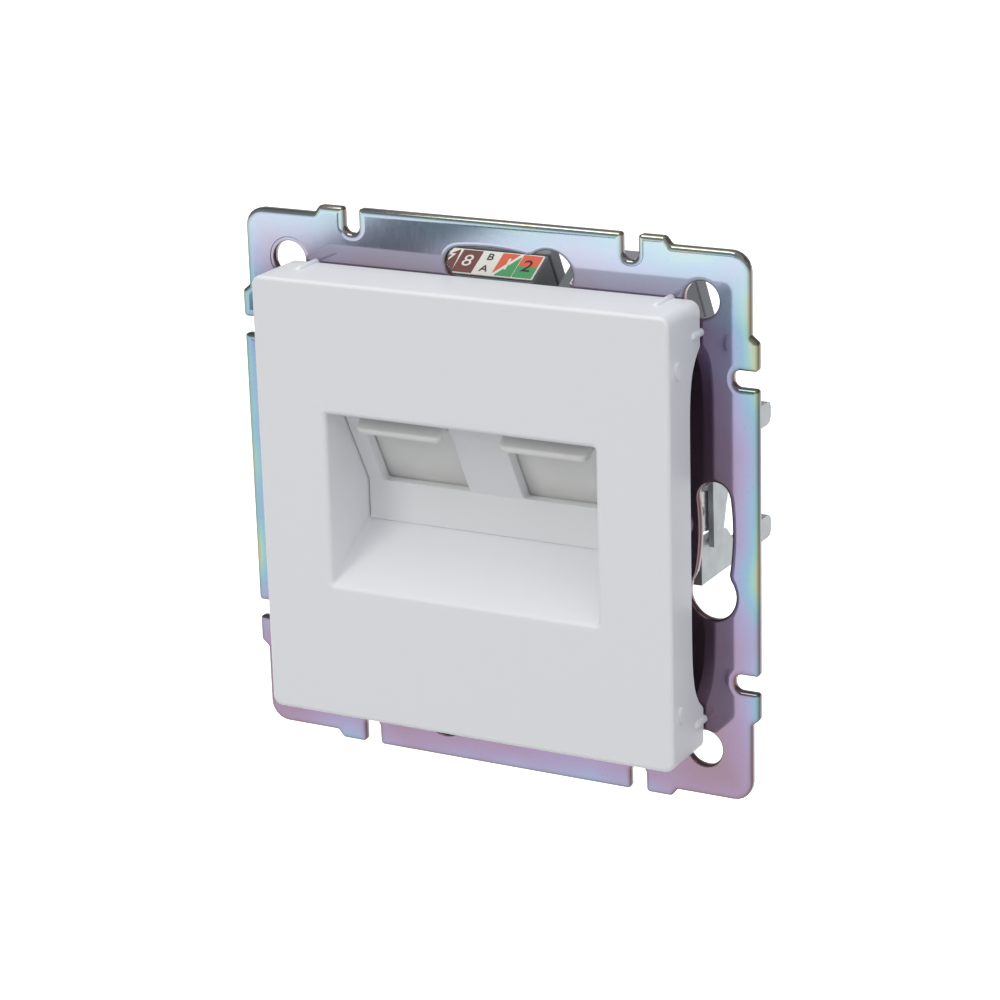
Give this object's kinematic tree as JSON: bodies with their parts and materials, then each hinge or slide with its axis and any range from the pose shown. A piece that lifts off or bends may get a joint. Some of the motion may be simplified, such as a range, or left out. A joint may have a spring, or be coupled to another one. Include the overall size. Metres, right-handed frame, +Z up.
{
  "type": "double data outlet",
  "caption": "Flush double RJ45 outlet insert: steel mounting plate with spreading claws, sloping jacks, and a square cover with sprung shutters.",
  "frame": {"origin": "centre of the mounting plate's rear face, which lies on the wall", "axes": "+Y into the wall, +Z up, +X to the right of a person who faces the wall"},
  "size_m": [0.071, 0.039, 0.071],
  "materials": {
    "zinc_plate": "iridescent passivated zinc",
    "bright_zinc": "bright zinc",
    "spring_steel": "drawn wire",
    "white_satin": "satin",
    "white_matt": "matt moulded",
    "charcoal": "matt moulded",
    "contact_gold": "gold flashed",
    "blade_tin": "tinned",
    "board_green": "solder mask",
    "label_film": "printed film",
    "smoke_cap": "matt moulded"
  },
  "bodies": {
    "mechanism": {"mounting_plate": "zinc_plate", "module_carrier": "white_matt", "claw_pin_left": "bright_zinc", "claw_pin_right": "bright_zinc", "jack_housing_left": "charcoal", "jack_housing_right": "charcoal", "contact_set_left": "contact_gold", "contact_set_right": "contact_gold", "circuit_board_left": "board_green", "circuit_board_right": "board_green", "terminal_block_left": "charcoal", "terminal_block_right": "charcoal", "terminal_blades_low_left": "blade_tin", "terminal_blades_low_right": "blade_tin", "terminal_blades_high_left": "blade_tin", "terminal_blades_high_right": "blade_tin", "wiring_label_left": "label_film", "wiring_label_right": "label_film"},
    "cover_body": {"cover": "white_satin", "port_insert": "white_satin", "shutter_retainer_left": "white_matt", "shutter_retainer_right": "white_matt", "shutter_spring_left": "spring_steel", "shutter_spring_right": "spring_steel"},
    "shutter_left": {"shutter_left": "white_satin"},
    "shutter_right": {"shutter_right": "white_satin"},
    "claw_left": {"claw_left": "bright_zinc"},
    "claw_right": {"claw_right": "bright_zinc"},
    "claw_screw_left": {"claw_screw_left": "bright_zinc"},
    "claw_screw_right": {"claw_screw_right": "bright_zinc"},
    "claw_nut_left": {"claw_nut_left": "bright_zinc"},
    "claw_nut_right": {"claw_nut_right": "bright_zinc"},
    "wire_cap_left": {"wire_cap_left": "smoke_cap"},
    "wire_cap_right": {"wire_cap_right": "smoke_cap"}
  },
  "joints": [
    {"name": "cover_lift", "type": "slide", "parent": "mechanism", "child": "cover_body", "axis": [0, -1, 0], "range_m": [0, 0.012]},
    {"name": "shutter_left_slide", "type": "slide", "parent": "cover_body", "child": "shutter_left", "axis": [0, 0.4741, -0.8805], "range_m": [0, 0.0096], "stiffness_N_per_m": 30, "springref_m": -0.004, "deforming": ["shutter_spring_left"]},
    {"name": "shutter_right_slide", "type": "slide", "parent": "cover_body", "child": "shutter_right", "axis": [0, 0.4741, -0.8805], "range_m": [0, 0.0096], "stiffness_N_per_m": 30, "springref_m": -0.004, "deforming": ["shutter_spring_right"]},
    {"name": "claw_screw_left_turn", "type": "hinge", "parent": "mechanism", "child": "claw_screw_left", "pos_m": [-0.0242, 0, 0], "axis": [0, 1, 0], "range_deg": [0, 628]},
    {"name": "claw_screw_right_turn", "type": "hinge", "parent": "mechanism", "child": "claw_screw_right", "pos_m": [0.0242, 0, 0], "axis": [0, 1, 0], "range_deg": [0, 628]},
    {"name": "claw_nut_left_travel", "type": "slide", "parent": "mechanism", "child": "claw_nut_left", "axis": [0, -1, 0], "range_m": [0, 0.00079]},
    {"name": "claw_nut_right_travel", "type": "slide", "parent": "mechanism", "child": "claw_nut_right", "axis": [0, -1, 0], "range_m": [0, 0.00079]},
    {"name": "claw_left_spread", "type": "hinge", "parent": "mechanism", "child": "claw_left", "pos_m": [-0.0214, 0.004, 0], "axis": [0, 0, 1], "range_deg": [0, 18.1]},
    {"name": "claw_right_spread", "type": "hinge", "parent": "mechanism", "child": "claw_right", "pos_m": [0.0214, 0.004, 0], "axis": [0, 0, -1], "range_deg": [0, 18.1]},
    {"name": "wire_cap_left_lift", "type": "slide", "parent": "mechanism", "child": "wire_cap_left", "axis": [0, 0.8805, 0.4741], "range_m": [0, 0.008]},
    {"name": "wire_cap_right_lift", "type": "slide", "parent": "mechanism", "child": "wire_cap_right", "axis": [0, 0.8805, 0.4741], "range_m": [0, 0.008]}
  ],
  "couplings": [
    {"joint": "claw_nut_left_travel", "follows": "claw_left_spread", "m_per_rad": 0.0024828},
    {"joint": "claw_nut_right_travel", "follows": "claw_right_spread", "m_per_rad": 0.0024828},
    {"joint": "claw_screw_left_turn", "follows": "claw_left_spread", "ratio": 34.667},
    {"joint": "claw_screw_right_turn", "follows": "claw_right_spread", "ratio": 34.667}
  ]
}
